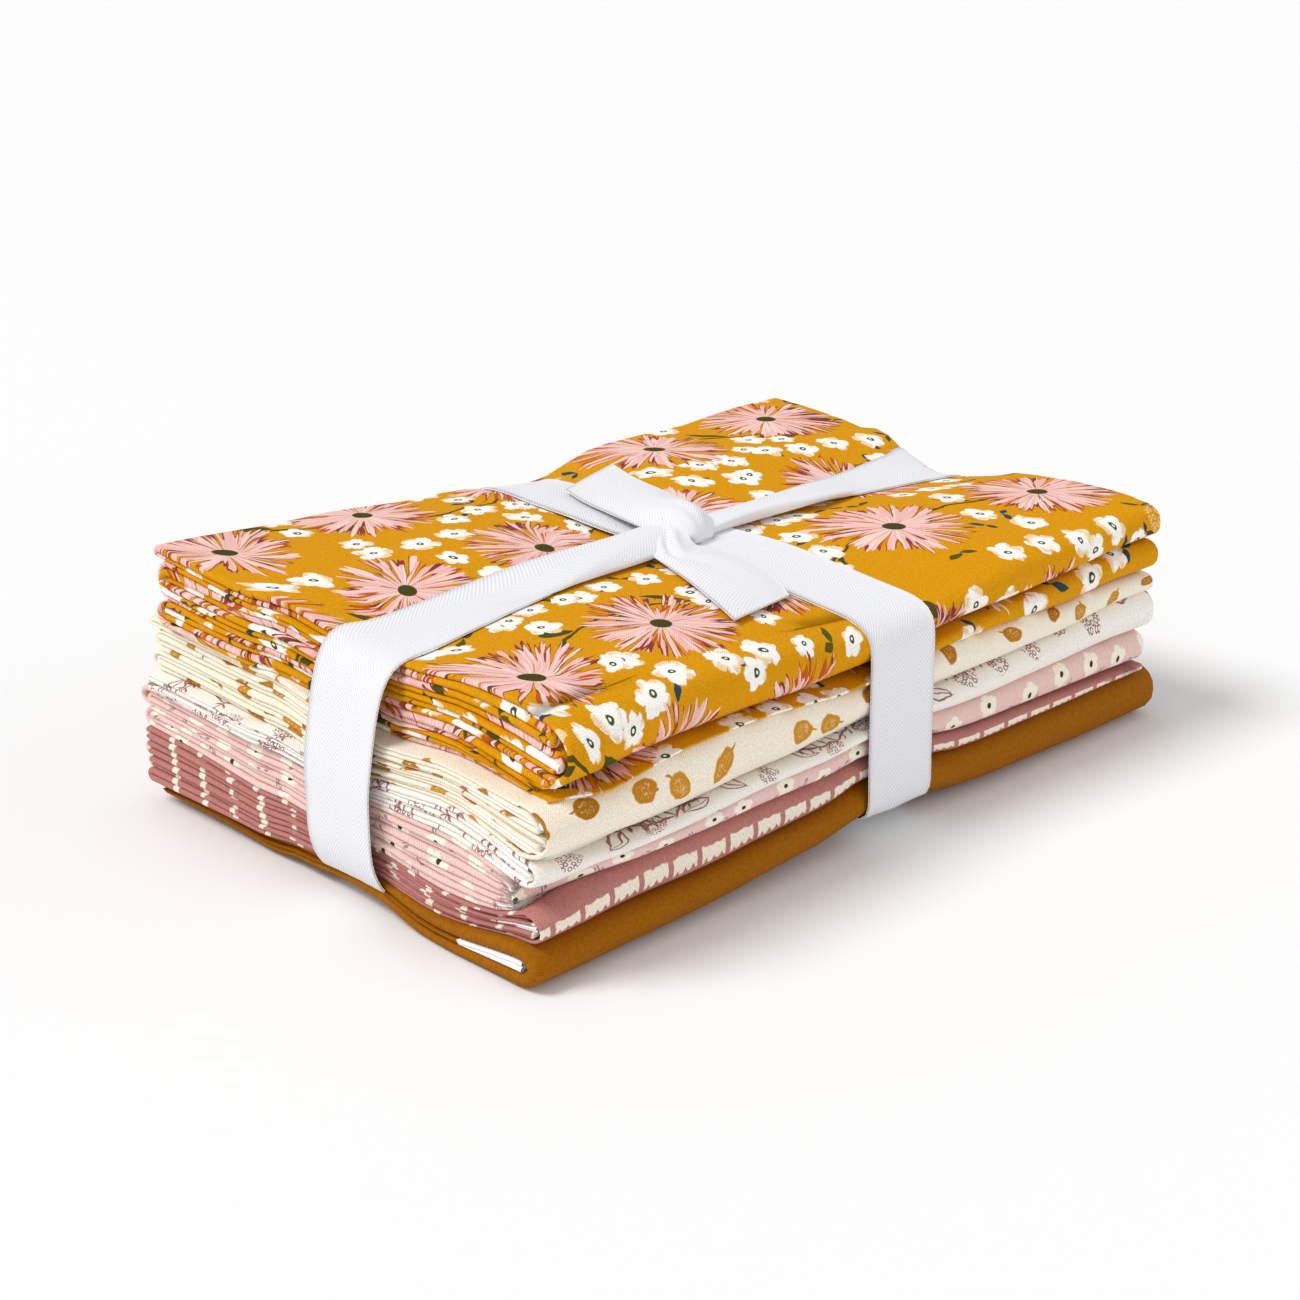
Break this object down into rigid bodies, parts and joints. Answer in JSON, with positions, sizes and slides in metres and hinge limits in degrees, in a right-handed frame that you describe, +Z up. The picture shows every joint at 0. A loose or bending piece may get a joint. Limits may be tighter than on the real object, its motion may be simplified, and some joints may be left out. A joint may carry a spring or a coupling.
{
  "type": "fabric bundle",
  "caption": "Stack of folded printed cotton cuts, tied flat once round each way with a knotted ribbon.",
  "frame": {"origin": "middle of the bundle's bounding box, on the surface it rests on", "axes": "+X along the long side, +Y from the wrapped front edge to the folded back edge, +Z up"},
  "size_m": [0.2372, 0.153, 0.0742],
  "materials": {
    "cut_golden_brown": "plain weave cotton, golden brown",
    "cut_mauve_dash": "plain weave cotton, dusty mauve with cream dashes",
    "cut_pink_blossom": "plain weave cotton, pale pink with small cream blossoms",
    "cut_white_line": "plain weave cotton, off-white with mauve line drawings",
    "cut_cream_leaf": "plain weave cotton, cream with mustard leaves",
    "cut_mustard_flower": "plain weave cotton, mustard with flowers and leaves",
    "ribbon_tie": "white twill tape"
  },
  "bodies": {
    "root": {"cut_golden_brown": "cut_golden_brown", "cut_mauve_dash": "cut_mauve_dash", "cut_pink_blossom": "cut_pink_blossom", "cut_white_line": "cut_white_line", "cut_cream_leaf": "cut_cream_leaf", "cut_mustard_flower": "cut_mustard_flower", "ribbon_tie": "ribbon_tie"}
  },
  "joints": []
}
